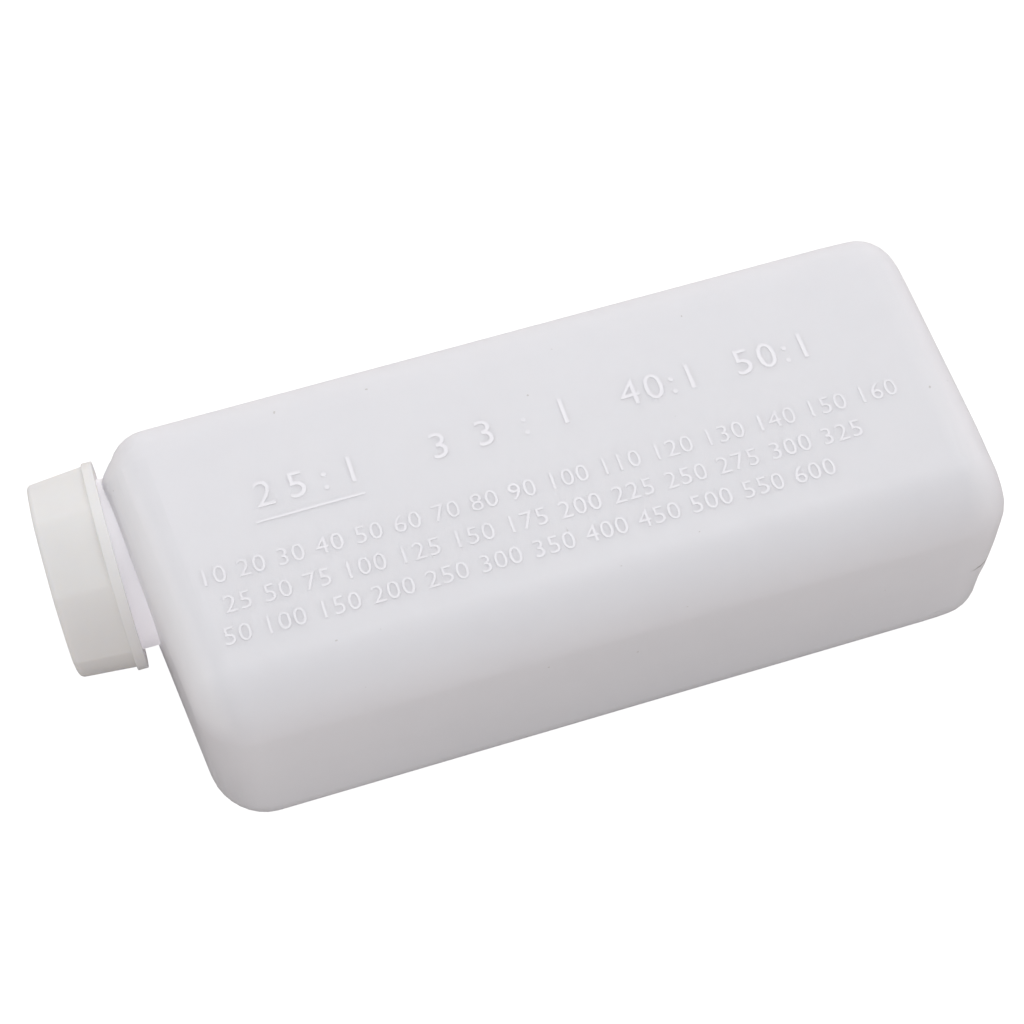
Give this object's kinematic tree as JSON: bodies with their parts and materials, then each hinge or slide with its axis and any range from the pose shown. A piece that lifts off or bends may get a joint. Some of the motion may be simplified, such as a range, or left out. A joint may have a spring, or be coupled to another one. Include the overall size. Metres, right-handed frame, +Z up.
{
  "type": "fuel mixing bottle",
  "caption": "Flat rectangular blow-moulded canister lying on its side, with sloped shoulder, offset neck, screw cap and sealing disc.",
  "frame": {"origin": "centre of the lying face, under the middle of the body's length and width", "axes": "+X along the body towards its base end, +Z up from the lying face, -Y the near narrow side; the neck is offset towards +Y"},
  "size_m": [0.2265, 0.0945, 0.064],
  "materials": {
    "body_plastic": "natural translucent, finely textured",
    "cap_plastic": "natural ivory, satin",
    "liner_foam": "matt white foam"
  },
  "bodies": {
    "bottle": {"bottle": "body_plastic"},
    "disc": {"sealing_disc": "liner_foam"},
    "cap": {"cap": "cap_plastic"}
  },
  "joints": [
    {"name": "cap_lift", "type": "slide", "parent": "bottle", "child": "disc", "axis": [-1, 0, 0], "range_m": [0, 0.0241]},
    {"name": "cap_turn", "type": "hinge", "parent": "disc", "child": "cap", "pos_m": [-0.115, 0.0225, 0.032], "axis": [-1, 0, 0], "range_deg": [0, 2160]}
  ],
  "couplings": [
    {"joint": "cap_lift", "follows": "cap_turn", "m_per_rad": 0.00063662}
  ]
}
